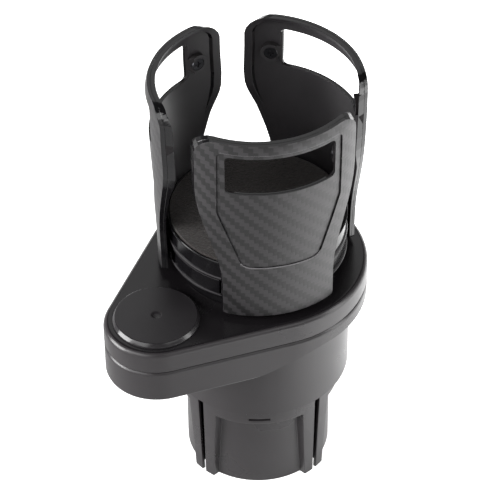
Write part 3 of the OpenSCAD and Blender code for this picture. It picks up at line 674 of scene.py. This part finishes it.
class CUPHOLDER_OT_wings(bpy.types.Operator):
    """Finish each wing's twill cover and glossy frame"""

    bl_idname = "cupholder.wings"
    bl_label = "Wings"

    def execute(self, context):
        edge = context.scene.cup_holder_sizes.wing_edge
        for k in range(WING_COUNT):
            angle = k * 2 * math.pi / WING_COUNT
            body = "wing_%d" % (k + 1)
            cover = welded("wing_cover_%d" % (k + 1), "wing_cover_film_%d" % (k + 1), whole=False)
            cover.data.materials.append(twill_film())
            cover.data.materials.append(painted_step_highlight())
            # The step's rounding takes the second material, a pale painted highlight
            soften(cover, 2 * edge, segments=3, share=self.step_share, slot=1)
            bosses = self.places_of("wing_screws_%d" % (k + 1))
            soften(cover, edge, segments=3, share=lambda edge: self.outline_share(edge, bosses))
            self.wrap(cover, angle)
            settle(cover, body, "twill", twill_film(), "wing_cover_%d" % (k + 1))
            paint(cover, abs_high_gloss(), self.edge_on)
            bare = welded("wing_frame_%d" % (k + 1), "wing_frame_gloss_%d" % (k + 1), whole=False)
            soften(bare, edge / 2, share=lambda edge: self.outline_share(edge, bosses))
            settle(bare, body, "gloss", abs_high_gloss(), "wing_frame_%d" % (k + 1))
            paint(bare, abs_satin_lining(), self.faced_in)
            paint(bare, abs_matt_boss(),
                  lambda center, normal: bosses.find(center)[2] < 2 * BOSS_REACH)
        return {"FINISHED"}

    @staticmethod
    def facing(center, normal):
        """How squarely a face looks away from the seat's axis, from 1 outwards to -1 inwards."""
        return normal.dot(Vector((center.x, center.y, 0)).normalized())

    @staticmethod
    def depth(place):
        """How far a point lies under the wing's outer face."""
        lean = min(1, max(0, (place.z - WING_FOOT_Z) / (WING_TOP_Z - WING_FOOT_Z)))
        return WING_FOOT_R + WING_LEAN * lean * lean * (3 - 2 * lean) - math.hypot(place.x, place.y)

    @classmethod
    def step_share(cls, edge):
        """A full rounding on the upper edge of the shield's step."""
        step = any(max(cls.depth(v.co) for v in face.verts) < 1.2 * SHIELD_DEPTH
                   and abs(cls.facing(face.calc_center_median(), face.normal)) < STEP_FACING
                   for face in edge.link_faces)
        return 1 if step and edge.is_convex else 0

    @staticmethod
    def outline_share(edge, bosses):
        """A full rounding on the edges of a wing's outline, and none that pass its bosses."""
        start, end = (vertex.co for vertex in edge.verts)
        near = min(bosses.find(start.lerp(end, step / EDGE_SAMPLES))[2]
                   for step in range(EDGE_SAMPLES + 1))
        return 1 if edge.is_convex and near > BOSS_REACH else 0

    @staticmethod
    def places_of(node):
        """A search tree over the points of a node."""
        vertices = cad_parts[node].data.vertices
        tree = kdtree.KDTree(len(vertices))
        for vertex in vertices:
            tree.insert(vertex.co, vertex.index)
        tree.balance()
        return tree

    @classmethod
    def edge_on(cls, center, normal):
        """Faces of a cover outside its film: the outline, the window and the shield's step."""
        return cls.facing(center, normal) < FILM_FACING

    @classmethod
    def faced_in(cls, center, normal):
        """Faces on the inside of a frame."""
        return cls.facing(center, normal) < LINING_FACING and center.z > WING_FOOT_Z + ARM_REACH

    @staticmethod
    def wrap(piece, angle):
        """Lays the film's map round the wing, in metres along the face and up it."""
        mesh = piece.data
        while mesh.uv_layers:
            mesh.uv_layers.remove(mesh.uv_layers[0])
        layer = mesh.uv_layers.new(name="wrap")
        for loop in mesh.loops:
            place = mesh.vertices[loop.vertex_index].co
            turn = math.atan2(place.y, place.x) - angle
            turn = (turn + math.pi) % (2 * math.pi) - math.pi
            layer.data[loop.index].uv = (turn * WING_FOOT_R + WRAP_START, place.z)


class CUPHOLDER_OT_mats(bpy.types.Operator):
    """Lay the felt mats in the seat and in the well"""

    bl_idname = "cupholder.mats"
    bl_label = "Felt mats"

    def execute(self, context):
        pile = context.scene.cup_holder_sizes.pile
        for node, name, body in (("seat_mat", "seat_felt", "seat"), ("well_mat", "well_felt", "base")):
            low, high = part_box(node)
            radius = (high.x - low.x) / 2
            piece = self.felt_disc(name, radius, low.z, high.z, pile)
            settle(piece, body, "felt", felt_needled(), node)
        return {"FINISHED"}

    # Radii of the disc's rings as shares of the whole, and the felt's waves per metre
    RINGS = (0.97, 0.93, 0.86, 0.77, 0.66, 0.54, 0.41, 0.27, 0.12)
    WAVES = (420, 1300)

    @classmethod
    def felt_disc(cls, name, radius, low, high, pile):
        """A thick felt disc whose top edge has sunk a little where it was cut."""
        bpy.ops.object.select_all(action="DESELECT")
        bpy.ops.mesh.primitive_circle_add(vertices=120, radius=radius - pile, fill_type="NGON",
                                          location=(0, 0, low))
        piece = bpy.context.object
        piece.name = name
        bpy.ops.object.transform_apply(location=True, rotation=True, scale=True)
        edit_all(piece)
        thick = high - low - pile / 2
        # The upper part of the wall leans in, where the cut edge has sunk
        bpy.ops.mesh.extrude_region_move(TRANSFORM_OT_translate={"value": (0, 0, thick * 0.7)})
        bpy.ops.mesh.extrude_region_move(TRANSFORM_OT_translate={"value": (0, 0, thick * 0.3)})
        bpy.ops.transform.resize(value=((radius - 2.2 * pile) / (radius - pile),) * 2 + (1,))
        for share in cls.RINGS:
            bpy.ops.mesh.inset(thickness=0)
            current = max(math.hypot(v.co.x, v.co.y) for v in bmesh.from_edit_mesh(piece.data).verts
                          if v.select)
            scale = share * radius / current
            bpy.ops.transform.resize(value=(scale, scale, 1))
        bpy.ops.mesh.poke()
        bpy.ops.mesh.select_all(action="SELECT")
        bpy.ops.mesh.normals_make_consistent(inside=False)
        leave_edit()
        for vertex in piece.data.vertices:
            if vertex.co.z > low + thick * 0.5:
                wave = sum(noise.noise(vertex.co * count) for count in cls.WAVES) * 0.5
                vertex.co.z += pile * 0.5 * wave
        soften(piece, 0, angle=50)
        return piece


class CUPHOLDER_OT_fasteners(bpy.types.Operator):
    """Finish the pivot bush, the screws, the washer and the springs"""

    bl_idname = "cupholder.fasteners"
    bl_label = "Bearing, screws and springs"

    def execute(self, context):
        steel, wire = steel_zinc_plated(), steel_wire_drawn()
        for node, body in (("deck_screws", "base"), ("pivot_screw", "base"), ("pivot_washer", "base"),
                           ("tray_screws", "tray"), ("retainer_screws", "seat"),
                           ("seat_screws", "seat")):
            piece = welded(node, node + "_plated")
            soften(piece, 0)
            settle(piece, body, "steel", steel, node)
        for k in range(1, WING_COUNT + 1):
            piece = welded("wing_screws_%d" % k, "wing_screws_blackened_%d" % k)
            soften(piece, 0)
            settle(piece, "wing_%d" % k, "steel", steel_black_oxide(), "wing_screws_%d" % k)
        bush = welded("pivot_bush", "pivot_bush_turned")
        soften(bush, 0)
        settle(bush, "base", "bearing", acetal_turned(), "pivot_bush")
        for k in range(1, WING_COUNT + 1):
            spring = welded("wing_spring_%d" % k, "wing_spring_drawn_%d" % k)
            soften(spring, 0)
            settle(spring, "seat", "spring", wire, "wing_spring_%d" % k)
            self.squeeze(spring, k)
        return {"FINISHED"}

    @staticmethod
    def squeeze(spring, k):
        """Gives a spring a mesh of its own; the spring is not shortened."""
        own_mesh(spring)


class CUPHOLDER_PT_panel(bpy.types.Panel):
    """Lists the pieces of the cup holder"""

    bl_idname = "CUPHOLDER_PT_panel"
    bl_label = "Cup Holder"
    bl_space_type = "VIEW_3D"
    bl_region_type = "UI"
    bl_category = "Cup Holder"

    def draw(self, context):
        column = self.layout.column()
        for operator in OPERATORS:
            column.operator(operator.bl_idname)
        for group in (context.scene.cup_holder_colors, context.scene.cup_holder_sizes,
                      context.scene.cup_holder_stage):
            box = self.layout.box()
            for key in group.__annotations__:
                box.prop(group, key)


OPERATORS = (CUPHOLDER_OT_camera, CUPHOLDER_OT_stage, CUPHOLDER_OT_shells, CUPHOLDER_OT_plates,
             CUPHOLDER_OT_seat, CUPHOLDER_OT_cap, CUPHOLDER_OT_wings, CUPHOLDER_OT_mats,
             CUPHOLDER_OT_fasteners)
GROUPS = (CupHolderColors, CupHolderSizes, CupHolderStage)


def register():
    for made in GROUPS + OPERATORS + (CUPHOLDER_PT_panel,):
        bpy.utils.register_class(made)
    bpy.types.Scene.cup_holder_colors = PointerProperty(type=CupHolderColors)
    bpy.types.Scene.cup_holder_sizes = PointerProperty(type=CupHolderSizes)
    bpy.types.Scene.cup_holder_stage = PointerProperty(type=CupHolderStage)


def unregister():
    del bpy.types.Scene.cup_holder_stage
    del bpy.types.Scene.cup_holder_sizes
    del bpy.types.Scene.cup_holder_colors
    for made in reversed(GROUPS + OPERATORS + (CUPHOLDER_PT_panel,)):
        bpy.utils.unregister_class(made)


def main():
    register()
    bpy.ops.cupholder.camera()
    bpy.ops.cupholder.shells()
    bpy.ops.cupholder.plates()
    bpy.ops.cupholder.seat()
    bpy.ops.cupholder.cap()
    bpy.ops.cupholder.wings()
    bpy.ops.cupholder.mats()
    bpy.ops.cupholder.fasteners()
    bpy.ops.cupholder.stage()


if __name__ == "__main__":
    main()
